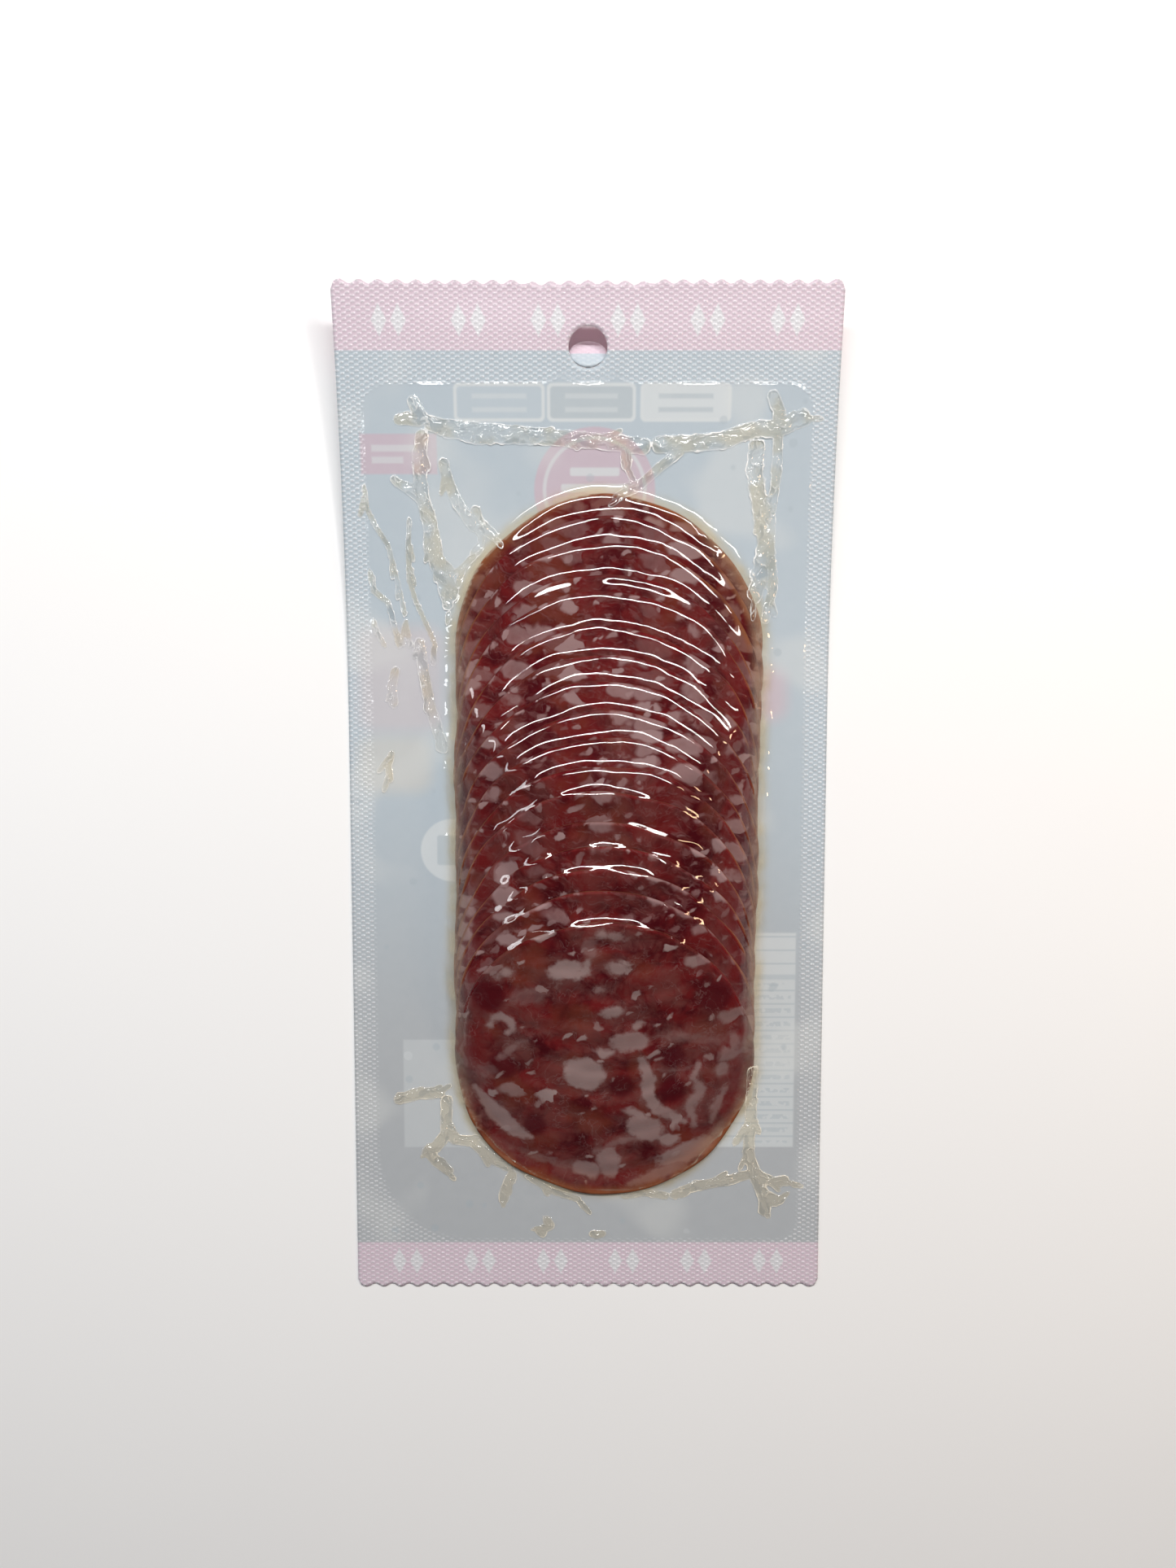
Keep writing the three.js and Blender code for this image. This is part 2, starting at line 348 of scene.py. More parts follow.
def add_pleat(field, x, y, points, height, width):
    """Adds a pleat along a route to the fold field: two close ridges, uneven along it."""
    rise, share, across, onward = field
    total = sum(math.dist(a, b) for a, b in zip(points, points[1:]))
    reach = 5 * width
    done = 0.0
    for (x0, y0), (x1, y1) in zip(points, points[1:]):
        length = math.hypot(x1 - x0, y1 - y0)
        ux, uy = (x1 - x0) / length, (y1 - y0) / length
        box = (x > min(x0, x1) - reach) & (x < max(x0, x1) + reach)
        box &= (y > min(y0, y1) - reach) & (y < max(y0, y1) + reach)
        dx, dy = x[box] - x0, y[box] - y0
        along = np.clip(dx * ux + dy * uy, 0, length)
        gap = np.hypot(dx - along * ux, dy - along * uy)
        side = np.where(dx * uy - dy * ux >= 0, 1.0, -1.0)
        place = done + along
        wander = 0.35 * width * np.sin(place * 1.3 + x0) + 0.2 * width * np.sin(place * 3.1 + y0)
        offset = gap * side + wander
        uneven = 0.75 + 0.25 * np.sin(place * 1.9 + 2 * y0)
        taper = smooth(np.minimum(place, total - place) + 0.6, 0, 2.2)
        ridge = np.exp(-(((offset - 0.35 * width) / (0.38 * width)) ** 2))
        ridge += 0.7 * np.exp(-(((offset + 0.55 * width) / (0.32 * width)) ** 2))
        rise[box] = np.maximum(rise[box], height * uneven * taper * ridge)
        nearby = taper * np.exp(-((gap / (1.35 * width)) ** 2))
        closer = nearby > share[box]
        across[box] = np.where(closer, offset, across[box])
        onward[box] = np.where(closer, place + x0, onward[box])
        share[box] = np.maximum(share[box], nearby)
        done += length


def fold_field(x, y):
    """All the folds together: their rise, their share, and the place across and along them."""
    field = [np.zeros(x.shape) for _ in range(4)]
    for points, height, width in FOLDS + side_creases():
        add_pleat(field, x, y, points, height, width)
    return field


def outside_pocket(x, y):
    """How far a point lies outside the pocket's rounded outline; negative inside it."""
    corner = np.where(y > 0, 6.0, np.where(x < 0, 22.0, 5.0))
    middle = (POCKET_TOP + POCKET_BOTTOM) / 2
    half = (POCKET_TOP - POCKET_BOTTOM) / 2
    past_x = np.abs(x) - POCKET_SIDE + corner
    past_y = np.abs(y - middle) - half + corner
    beyond = np.hypot(np.maximum(past_x, 0), np.maximum(past_y, 0))
    return beyond + np.minimum(np.maximum(past_x, past_y), 0) - corner


# ---- The pile under the film.


def spread(surface, step, radius, grow, axis):
    """One pass of rolling a parabola over or under a surface, along one axis."""
    deepest = 12
    reach = math.ceil(math.sqrt(2 * radius * deepest) / step)
    result = surface.copy()
    for shift in range(-reach, reach + 1):
        moved = np.roll(surface, shift, axis)
        drop = (shift * step) ** 2 / (2 * radius)
        result = np.maximum(result, moved - drop) if grow else np.minimum(result, moved + drop)
    return result


def shrink_wrap(surface, grid, radius):
    """The surface that a film takes over it: it spans the hollows and follows the crests."""
    for grow in (True, False):
        surface = spread(surface, grid.step_x, radius, grow, 1)
        surface = spread(surface, grid.step_y, radius, grow, 0)
    return surface


def blur(surface, passes):
    for _ in range(passes):
        for axis in (0, 1):
            around = np.roll(surface, 1, axis) + np.roll(surface, -1, axis)
            surface = (2 * surface + around) / 4
    return surface


def pile_surface(x, y):
    """The top of the pile above the pack's underside, and how far a point lies outside it."""
    ground = underside(x, y)
    top = ground + BACK_THICKNESS
    outside = np.full(x.shape, 1e3)
    lower = np.zeros(x.shape)
    for index in range(len(SLICE_NAMES)):
        inside = inside_slice(index, x, y)
        depth = np.clip(inside, 0, EDGE_ROUND) / EDGE_ROUND
        edge = np.sqrt(1 - (1 - depth) ** 2)
        swell = slice_swell(index, x, y) * smooth(inside, 0, 3)
        height = ground + BACK_THICKNESS + SLICE_THICKNESS * (lower + edge) + swell
        top = np.where(inside > 0, np.maximum(height, top), top)
        outside = np.minimum(outside, -inside)
        lower = lower + cover(index, x, y)
    return top - ground, outside


# ---- Pieces.

FRONT_FILM_STEP = 0.51
BACK_FILM_STEP = 0.72
# The seal begins over this stretch, measured outwards from the pocket's outline.
SEAL_EDGE = (-0.6, 0.3)


def wrap_pile(grid, top, outside):
    """The film drawn over the pile: tight over the lower slices, slacker towards the hang hole."""
    x, y = grid.flat_x, grid.flat_y
    slacker = smooth(y, -5, 30)
    drawn = blur(shrink_wrap(top, grid, 1.4), 3) * (1 - slacker)
    drawn += blur(shrink_wrap(top, grid, 2.2), 5) * slacker
    uneven = 0.17 * ripples(x, y, 33, 15) + 0.07 * ripples(x, y, 34, 6)
    lifted = FILM_LIFT * smooth(outside, 3, 0) + uneven * smooth(outside, 2, -1)
    wrapped = blur(np.maximum(drawn + lifted, top + FILM_CLEARANCE), 2)
    beside = np.exp(-(((outside - 0.2) / 2.2) ** 2)) * smooth(np.abs(x), 18, 28)
    ridges = np.clip(1 - np.abs(ripples(0.35 * x, y, 35, 6)), 0, 1) ** 2
    return wrapped + blur(0.6 * beside * ridges, 1)


def build_front_film():
    """The clear film: drawn over the pile, slack and folded beside it, and sealed at the rim."""
    grid = PackGrid(FRONT_FILM_STEP)
    x, y = grid.flat_x, grid.flat_y
    top, outside = pile_surface(x, y)
    folds, share, across, onward = fold_field(x, y)
    past_pocket = outside_pocket(x, y)
    sealed = smooth(past_pocket, *SEAL_EDGE)
    pocket_lip = 0.14 * np.exp(-(((past_pocket + 0.7) / 0.6) ** 2))
    loose = (1 - sealed) * smooth(outside, 1, 5)
    slack = 0.12 * (1 + ripples(x, y, 31, 14)) + 0.05 * (1 + ripples(x, y, 32, 5))
    rise = wrap_pile(grid, top, outside) + slack * loose + pocket_lip + folds * (1 - 0.8 * sealed)
    z = underside(grid.x, grid.y) + rise
    vertices = point_list(grid.x, grid.y, z)
    round_pile = np.exp(-((np.clip(outside, 0, None) / 1.6) ** 2)) * (outside > -0.5)
    at_sides = smooth(np.abs(x), 24, 31) * smooth(outside, -4, -1) * (outside < 0)
    juice = np.maximum(round_pile, 0.5 * at_sides)
    layers = (share, sealed, juice, point_list(across, onward, 0 * across))
    vertices, faces, kept = drop_loose(vertices, grid.faces(), *layers)
    film = make_object("clear_front_film", vertices, faces)
    for name, values in zip(("fold", "seal", "juice"), kept):
        set_number(film, name, values)
    set_vector(film, "route", kept[-1])
    return film


def build_back_film():
    grid = PackGrid(BACK_FILM_STEP)
    z = underside(grid.x, grid.y)
    vertices = point_list(grid.x, grid.y, z)
    sealed = smooth(outside_pocket(grid.flat_x, grid.flat_y), *SEAL_EDGE)
    vertices, faces, kept = drop_loose(vertices, grid.faces(), sealed)
    film = make_object("printed_back_film", vertices, faces)
    set_number(film, "seal", kept[0])
    return film


def thicken(obj, thickness):
    """Gives a sheet its thickness upwards; its lower face takes the second material."""
    solid = obj.modifiers.new("thickness", "SOLIDIFY")
    solid.thickness = thickness * MM
    solid.offset = 1.0
    solid.material_offset = 1
    solid.material_offset_rim = 0


def apply_modifiers(obj):
    """Turns what the modifiers make into the object's own mesh."""
    ready = bpy.context.evaluated_depsgraph_get()
    mesh = bpy.data.meshes.new_from_object(obj.evaluated_get(ready))
    obj.modifiers.clear()
    obj.data = mesh


def build_hang_tab():
    """The punched disc of film that still hangs by its lower side, bent down behind the hole."""
    hinge = HOLE_Y - 3.3
    bend = math.radians(38)
    gap = 0.12
    rings = np.linspace(0, HOLE_RADIUS - gap, 10)
    angles = np.linspace(0, 2 * math.pi, 48, endpoint=False)
    radius, angle = np.meshgrid(rings, angles, indexing="ij")
    x = radius * np.cos(angle)
    flat_y = HOLE_Y + radius * np.sin(angle)
    past = np.maximum(flat_y - hinge, 0)
    y = flat_y - past * (1 - math.cos(bend))
    z = underside(0 * x, np.minimum(flat_y, hinge)) - past * math.sin(bend) * (0.9 + 0.1 * past / 7)
    vertices = point_list(x, y, z)
    tab = make_object("hang_hole_tab", vertices, ring_faces(len(rings), len(angles)))
    set_number(tab, "seal", np.ones(len(vertices)))
    return tab


def slice_rings(count):
    """Rings from the middle of the top over the round edge to the middle of the underside."""
    share = np.linspace(0, 1, count)
    inset = (1 - share) ** 1.35 * (SLICE_RADIUS - EDGE_ROUND) + EDGE_ROUND
    rings = [(float(value), 1.0) for value in inset]
    for step in range(1, 8):
        lean = math.pi / 2 * (1 - step / 4)
        rings.append((EDGE_ROUND * (1 - math.cos(lean)), 0.5 + 0.5 * math.sin(lean)))
    rings.append((EDGE_ROUND, 0.0))
    rings.extend((float(value), 0.0) for value in np.linspace(3, SLICE_RADIUS, 8))
    return rings


# The depth given where no listed fat piece is near, which is everywhere on the other slices.
FAR_FROM_FAT = -9.0
# Fat pieces that show on the topmost slice: place, half sizes, turn and how clearly they show.
TOP_CHUNKS = [
    (-8.4, 23.3, 3.9, 2.3, 0.05, 1.0),
    (3.1, 24.1, 2.4, 1.4, -0.1, 0.9),
    (-0.7, 32.0, 1.2, 1.0, 0.0, 0.8),
    (2.3, 31.4, 1.7, 0.9, -0.2, 0.7),
    (-22.1, 22.4, 2.1, 1.0, 0.5, 0.9),
    (-3.3, 28.8, 1.6, 2.2, 0.1, 0.35),
    (-1.0, 18.8, 1.2, 0.7, 0.1, 0.6),
    (1.9, 13.3, 2.3, 1.3, 0.05, 0.9),
    (5.7, 6.0, 4.1, 2.4, 0.1, 0.8),
    (7.4, 9.7, 1.4, 0.8, 0.6, 0.8),
    (-4.6, -2.2, 4.7, 4.0, -0.4, 1.0),
    (9.6, -16.5, 4.5, 3.1, -0.3, 0.85),
    (1.2, -25.5, 2.6, 4.2, 0.1, 0.8),
    (19.5, -23.5, 7.4, 2.6, 0.4, 0.85),
    (27.1, -2.0, 1.6, 1.9, 0.3, 0.6),
    (30.1, 5.0, 1.3, 2.2, 0.2, 0.5),
    (-17.0, 17.0, 4.5, 1.8, 0.2, 0.25),
    (-21.5, 3.2, 2.6, 0.8, 0.7, 0.45),
    (-19.0, 5.4, 1.9, 0.6, 0.5, 0.35),
    (21.0, 6.2, 6.5, 1.2, -0.15, 0.25),
    (-14.0, -25.0, 6.0, 0.9, -0.3, 0.3),
    (-27.0, -2.5, 2.4, 1.6, 0.5, 0.25),
]
# Curved strips of fat on the topmost slice: place and half width at each point, and clearness.
TOP_STRIPS = [
    ([(-5.9, 22.4, 1.2), (-3.9, 23.5, 1.0), (-3.8, 25.6, 0.5)], 1.0),
    ([(-25.9, 9.1, 0.6), (-25.1, 11.1, 0.8), (-23.4, 11.7, 0.9), (-21.4, 10.6, 0.9)], 0.9),
    ([(-21.4, 10.6, 0.9), (-20.7, 8.6, 0.8), (-22.0, 7.5, 0.5)], 0.9),
    ([(8.7, 1.3, 1.0), (10.4, -3.8, 1.5), (10.0, -7.5, 1.4), (12.1, -11.2, 1.4)], 0.9),
    ([(12.1, -11.2, 1.4), (15.6, -13.2, 1.1), (19.0, -15.1, 0.5)], 0.8),
    ([(-30.0, -7.5, 0.5), (-27.3, -10.7, 1.6), (-24.3, -14.0, 2.3), (-20.8, -17.3, 2.0)], 0.85),
    ([(-20.8, -17.3, 2.0), (-17.0, -19.4, 0.4)], 0.85),
    ([(21.6, -0.5, 0.5), (20.7, -3.8, 0.8), (22.4, -7.0, 1.2), (19.9, -11.2, 1.3)], 0.7),
    ([(19.9, -11.2, 1.3), (21.1, -15.8, 0.7)], 0.7),
    ([(28.0, -7.5, 0.7), (26.3, -12.1, 1.1), (25.4, -15.8, 0.5)], 0.55),
    ([(-2.0, -22.7, 0.5), (3.5, -20.0, 0.8), (7.5, -19.0, 0.6)], 0.4),
    ([(12.5, -1.4, 0.3), (17.0, -1.8, 0.4), (20.0, -1.0, 0.3)], 0.3),
    ([(6.0, -31.5, 0.6), (12.0, -29.5, 1.3), (18.0, -26.5, 1.6)], 0.6),
]
# Round, darker spots of lean on the topmost slice: place and radius.
TOP_DARKS = [
    (16.0, 1.9, 2.9),
    (15.6, -6.6, 3.5),
    (-16.1, -15.8, 3.0),
    (-23.4, -1.0, 3.4),
    (-6.5, 27.3, 2.2),
    (4.0, -5.3, 3.2),
    (25.0, 16.5, 4.0),
    (-26.0, 16.5, 4.0),
]


def top_pieces(u, v):
    """The nearest listed piece of fat: how far inside it a point lies, and its clearness."""
    depth = np.full(u.shape, FAR_FROM_FAT)
    clear = np.zeros(u.shape)
    for x0, y0, half_long, half_short, turn, clearness in TOP_CHUNKS:
        du, dv = u - x0, v - y0
        along = (du * math.cos(turn) + dv * math.sin(turn)) / half_long
        across = (dv * math.cos(turn) - du * math.sin(turn)) / half_short
        reach = np.sqrt(np.sqrt(along**4 + across**4 + 1.2 * (along * across) ** 2))
        inside = (1 - reach) * min(half_long, half_short)
        clear = np.where(inside > depth, clearness, clear)
        depth = np.maximum(depth, inside)
    for points, clearness in TOP_STRIPS:
        for (x0, y0, wide0), (x1, y1, wide1) in zip(points, points[1:]):
            length = math.hypot(x1 - x0, y1 - y0)
            du, dv = u - x0, v - y0
            share = np.clip((du * (x1 - x0) + dv * (y1 - y0)) / length**2, 0, 1)
            gap = np.hypot(du - share * (x1 - x0), dv - share * (y1 - y0))
            inside = wide0 + share * (wide1 - wide0) - gap
            clear = np.where(inside > depth, clearness, clear)
            depth = np.maximum(depth, inside)
    return depth, clear


def top_darks(u, v):
    """How far a point of the topmost slice lies in one of its darker spots, from 0 to 1."""
    shares = [smooth(radius - np.hypot(u - x0, v - y0), -0.8, 1.2) for x0, y0, radius in TOP_DARKS]
    return np.maximum.reduce(shares)


def dryness(index, u, v):
    """How far the rim of a slice has dried, from 0 to 1: most where it lies open to the edge."""
    if index == 0:
        return 0.45 + 0.55 * smooth(np.abs(u), 4, 22)
    if index == len(SLICE_NAMES) - 1:
        return 0.02 + 0.98 * smooth(-v, 2, 18)
    return 0.02 + 0.32 * smooth(np.abs(u), 24, 34) + 0.5 * smooth(u, 14, 28) * (index < 3)


def build_slice(index):
    is_top = index == len(SLICE_NAMES) - 1
    segments = 300 if is_top else 168
    rings = slice_rings(90 if is_top else 34)
    angles = np.linspace(0, 2 * math.pi, segments, endpoint=False)
    centre = SLICE_CENTRES[index]
    inset = np.array([ring[0] for ring in rings])[:, None]
    level = np.array([ring[1] for ring in rings])[:, None]
    radius = np.maximum(slice_edge(index, angles)[None, :] - inset, 0.001)
    u = radius * np.cos(angles)
    v = radius * np.sin(angles)
    x, y = centre[0] + u, centre[1] + v
    swell = slice_swell(index, x, y) * smooth(inset, 0, 3) * level
    z = slice_underside(index, x, y) + SLICE_THICKNESS * level + swell
    vertices = point_list(x, y, z)
    faces = ring_faces(len(rings), segments)
    piece = make_object(f"salami_{SLICE_NAMES[index]}", vertices, faces)
    depth_in_sausage = (index + level) * SLICE_THICKNESS + 0 * u
    set_vector(piece, "sausage", point_list(u, v, depth_in_sausage))
    set_number(piece, "rim", inset + 0 * u)
    set_number(piece, "dried", dryness(index, u, v))
    depth, clear = top_pieces(u, v) if is_top else (np.full(u.shape, FAR_FROM_FAT), 0 * u)
    set_number(piece, "chunk", depth)
    set_number(piece, "clear", clear)
    set_number(piece, "dark", top_darks(u, v) if is_top else 0 * u)
    return piece


# ---- Materials.


class Material:
    """A node material under construction. Values may be numbers, colours or other sockets."""

    def __init__(self, name):
        self.material = bpy.data.materials.new(name)
        self.material.use_nodes = True
        self.tree = self.material.node_tree
        self.tree.nodes.clear()

    def put(self, socket, value):
        if isinstance(value, bpy.types.NodeSocket):
            self.tree.links.new(value, socket)
        elif isinstance(value, tuple) and len(value) == 3 and socket.type == "RGBA":
            socket.default_value = (*value, 1.0)
        else:
            socket.default_value = value

    def node(self, kind, inputs=None, **settings):
        made = self.tree.nodes.new("ShaderNode" + kind)
        for key, value in settings.items():
            setattr(made, key, value)
        for key, value in (inputs or {}).items():
            self.put(made.inputs[key], value)
        return made

    def math(self, operation, *values):
        made = self.node("Math", operation=operation)
        for socket, value in zip(made.inputs, values):
            self.put(socket, value)
        return made.outputs[0]

    def add(self, a, b):
        return self.math("ADD", a, b)

    def sub(self, a, b):
        return self.math("SUBTRACT", a, b)

    def mul(self, a, b):
        return self.math("MULTIPLY", a, b)

    def highest(self, a, b):
        return self.math("MAXIMUM", a, b)

    def step(self, value, low, high):
        """0 at low, 1 at high, smooth between them; low may be above high."""
        if isinstance(low, float) and isinstance(high, float) and low > high:
            return self.sub(1.0, self.step(value, high, low))
        inputs = {"Value": value, "From Min": low, "From Max": high}
        return self.node("MapRange", inputs, interpolation_type="SMOOTHSTEP").outputs[0]

    def mix(self, share, first, second):
        """A mix of two colours; 6 and 7 are the node's colour inputs, 2 its colour output."""
        return self.node("Mix", {0: share, 6: first, 7: second}, data_type="RGBA").outputs[2]

    def lay(self, colour, *layers):
        """A colour with others laid over it: each layer is a shape, its strength and its colour."""
        for shape, strength, tone in layers:
            colour = self.mix(self.mul(shape, strength), colour, tone)
        return colour

    def attribute(self, name, output="Fac"):
        return self.node("Attribute", attribute_name=name).outputs[output]

    def place(self):
        """The point in millimetres as a vector, and its x and y."""
        vector = self.stretch(self.node("TexCoord").outputs["Object"], (1000, 1000, 1000))
        parts = self.node("SeparateXYZ", {0: vector})
        return vector, parts.outputs[0], parts.outputs[1]

    def noise(self, vector, scale, detail=2.0, rough=0.5, output="Fac"):
        inputs = {"Vector": vector, "Scale": scale, "Detail": detail, "Roughness": rough}
        return self.node("TexNoise", inputs).outputs[output]

    def stretch(self, vector, factors):
        inputs = {0: vector, 1: factors}
        return self.node("VectorMath", inputs, operation="MULTIPLY").outputs[0]

    def warp(self, vector, scale, amount):
        """The vector pushed about by noise, by up to half the amount each way."""
        colour = self.noise(vector, scale, output="Color")
        centred = self.node("VectorMath", {0: colour, 1: (0.5, 0.5, 0.5)}, operation="SUBTRACT")
        inputs = {0: centred.outputs[0], "Scale": amount}
        moved = self.node("VectorMath", inputs, operation="SCALE")
        total = self.node("VectorMath", {0: vector, 1: moved.outputs[0]}, operation="ADD")
        return total.outputs[0]

    def cells(self, vector, scale, feature="F1"):
        return self.node("TexVoronoi", {"Vector": vector, "Scale": scale}, feature=feature)

    def tones(self, coloured):
        """The three random numbers that a node's colour holds."""
        return self.node("SeparateColor", {"Color": coloured.outputs["Color"]}).outputs

    def bump(self, height, distance_mm, strength):
        inputs = {"Height": height, "Distance": distance_mm * MM, "Strength": strength}
        return self.node("Bump", inputs).outputs[0]

    def blend(self, share, first, second):
        """A mix of two shader nodes."""
        return self.node("MixShader", {0: share, 1: first.outputs[0], 2: second.outputs[0]})

    def finish(self, shader):
        self.node("OutputMaterial", {"Surface": shader.outputs[0]})
        return self.material

    def surface(self, inputs):
        return self.finish(self.node("BsdfPrincipled", inputs))


def rectangle(m, x, y, x0, x1, y0, y1, corner=0.0, soft=0.3):
    """1 inside a rectangle, 0 outside it; its corners may be round."""
    half_x = (x1 - x0) / 2 - corner
    half_y = (y1 - y0) / 2 - corner
    past_x = m.sub(m.math("ABSOLUTE", m.sub(x, (x0 + x1) / 2)), half_x)
    past_y = m.sub(m.math("ABSOLUTE", m.sub(y, (y0 + y1) / 2)), half_y)
    if corner == 0.0:
        return m.step(m.highest(past_x, past_y), soft, -soft)
    out_x = m.highest(past_x, 0.0)
    out_y = m.highest(past_y, 0.0)
    beyond = m.math("SQRT", m.add(m.mul(out_x, out_x), m.mul(out_y, out_y)))
    return m.step(beyond, corner + soft, corner - soft)


def disc(m, x, y, x0, y0, radius, soft=0.3):
    """1 inside a disc, 0 outside it."""
    dx = m.sub(x, x0)
    dy = m.sub(y, y0)
    away = m.math("SQRT", m.add(m.mul(dx, dx), m.mul(dy, dy)))
    return m.step(away, radius + soft, radius - soft)


def lozenges(m, x, y, row_y, pitch, half_x, half_y):
    """A row of pairs of small lozenges across the pack."""
    half_gap = 2.1
    cell = m.math("WRAP", m.add(x, pitch / 2), pitch / 2, -pitch / 2)
    apart = m.sub(m.math("ABSOLUTE", cell), half_gap)
    wide = m.mul(m.math("ABSOLUTE", apart), 1 / half_x)
    tall = m.mul(m.math("ABSOLUTE", m.sub(y, row_y)), 1 / half_y)
    return m.step(m.add(wide, tall), 1.15, 0.85)


def knurl(m, x, y):
    """The dots of the heat seal, in a slanting lattice: 1 on a dot, 0 between them."""
    spacing_x = 1.05
    spacing_y = 0.57
    phase_x = m.mul(x, math.pi / spacing_x)
    phase_y = m.mul(y, math.pi / spacing_y)
    first = m.math("COSINE", m.add(phase_x, phase_y))
    second = m.math("COSINE", m.sub(phase_x, phase_y))
    return m.step(m.mul(m.add(first, second), 0.5), -0.2, 0.9)


def print_colour(m, x, y, ground, pink, white, dark):
    """Generic print: panels, a round badge, bars and ruled boxes, with no lettering."""

    def box(x0, x1, y0, y1, corner=0.0):
        return rectangle(m, x, y, x0, x1, y0, y1, corner)

    def bar(x0, x1, middle, half, corner=0.0):
        return box(x0, x1, middle - half, middle + half, corner)

    layers = []
    panels = (
        (-29.5, -9.5, 0.9, ground, white),
        (-9.0, 10.5, 0.65, dark, white),
        (11.5, 31.5, 0.1, ground, dark),
    )
    for x0, x1, filled, fill, ink in panels:
        layers.append((box(x0, x1, 86.5, 94.5, 1.2), 1.0, white))
        layers.append((box(x0 + 0.7, x1 - 0.7, 87.2, 93.8, 0.8), filled, fill))
        layers += [(bar(x0 + 4, x1 - 4, line, 0.5), 0.5, ink) for line in (89.0, 91.8)]
    layers.append((box(-50.5, -33.5, 75.5, 84.0), 0.85, pink))
    layers.append((bar(-48, -38, 81.0, 0.7), 0.6, white))
    layers.append((bar(-48, -41, 78.5, 0.7), 0.6, white))
    badge_x, badge_y = 1.5, 72.0
    badge, ring_outer, ring_inner = (
        disc(m, x, y, badge_x, badge_y, radius) for radius in (13.5, 11.6, 10.8)
    )
    layers.append((badge, 0.9, pink))
    layers.append((m.sub(ring_outer, ring_inner), 0.7, white))
    for rise, half in ((4.0, 5.5), (0.5, 7.5), (-3.0, 7.5)):
        line = bar(badge_x - half, badge_x + half, badge_y + rise, 0.9, 0.5)
        layers.append((line, 0.8, white))
    layers.append((disc(m, x, y, -31.5, -9.5, 7.3), 0.9, white))
    layers.append((box(-35.0, -28.0, -13.0, -6.0, 0.6), 0.55, dark))
    table = box(8.0, 48.6, -80.5, -29.0)
    layers.append((table, 0.85, white))
    half_row = 1.6
    rule_y = -39.5
    from_rule = m.math("WRAP", m.sub(y, rule_y), half_row, -half_row)
    rule = m.step(m.math("ABSOLUTE", from_rule), 0.32, 0.12)
    thick_rule = bar(8.0, 48.6, rule_y, 0.6)
    layers.append((m.highest(m.mul(rule, table), thick_rule), 0.45, dark))
    bars = box(39.0, 47.6, -79.5, -41.0)
    from_row = m.math("WRAP", m.sub(y, rule_y - half_row), half_row, -half_row)
    lines = m.step(m.math("ABSOLUTE", from_row), 0.7, 0.4)
    broken = m.step(m.noise(m.place()[0], 0.9, 1.0), 0.42, 0.5)
    layers.append((m.mul(lines, bars), m.mul(broken, 0.4), dark))
    layers.append((box(-43.5, -20.0, -80.5, -54.5), 0.45, white))
    return m.lay(ground, *layers)


def end_bands(m, x, y, colour, pink, white):
    """The pink bands at both ends, with their rows of lozenges."""
    top = m.step(y, PINK_TOP - 0.2, PINK_TOP + 0.2)
    bottom = m.step(y, PINK_BOTTOM + 0.2, PINK_BOTTOM - 0.2)
    shapes = m.highest(
        lozenges(m, x, y, 107.0, 17.2, 1.7, 3.3),
        lozenges(m, x, y, -108.6, 17.2, 1.7, 3.1),
    )
    return m.lay(colour, (m.highest(top, bottom), 1.0, pink), (shapes, 0.75, white))


def printed_specks(m, vector):
    """Small round specks scattered over the print: 1 on a speck, 0 between them."""
    return m.step(m.cells(vector, 0.11).outputs["Distance"], 0.13, 0.08)


def inner_film_material():
    """The inner face of the back film: pale, with the outside's print showing through faintly, and
    painted shade that greys and darkens it towards the bottom.
    """
    m = Material("back_film_inside")
    vector, x, y = m.place()
    # Painted shade: the ground turns greyer and darker towards the bottom of the pack, as if that end
    # lay in shadow.
    ground = m.mix(m.step(y, 15.0, -70.0), (0.47, 0.545, 0.605), (0.445, 0.47, 0.495))
    faint_white = (0.64, 0.68, 0.70)
    faint_dark = (0.38, 0.45, 0.50)
    colour = print_colour(m, x, y, ground, (0.56, 0.45, 0.52), faint_white, faint_dark)
    shown_through = (
        (-52.5, -33.0, 18.0, 42.0, (0.64, 0.54, 0.55)),
        (-53.0, -36.0, 4.0, 17.0, (0.66, 0.62, 0.55)),
        (38.5, 45.5, 20.5, 33.0, (0.66, 0.44, 0.50)),
    )
    for x0, x1, y0, y1, tone in shown_through:
        patch = rectangle(m, x, y, x0, x1, y0, y1, corner=4.0, soft=2.5)
        colour = m.lay(colour, (patch, 0.5, tone))
    blotches = m.step(m.noise(vector, 0.045, 1.0), 0.52, 0.66)
    specks = printed_specks(m, vector)
    colour = m.lay(colour, (blotches, 0.35, (0.70, 0.72, 0.71)), (specks, 0.4, faint_dark))
    colour = end_bands(m, x, y, colour, (0.68, 0.55, 0.635), (0.74, 0.78, 0.80))
    fibres = m.noise(vector, 0.35, 4.0, 0.6)
    dots = m.mul(knurl(m, x, y), m.attribute("seal"))
    # The seal's knurl dots are real; their paler colour is a painted glint on each dot.
    colour = m.lay(colour, (fibres, 0.12, (0.75, 0.78, 0.80)), (dots, 0.18, (0.85, 0.86, 0.9)))
    height = m.add(m.mul(dots, 0.6), m.mul(fibres, 0.2))
    normal = m.bump(height, 0.12, 0.7)
    return m.surface({"Base Color": colour, "Roughness": 0.42, "Normal": normal})


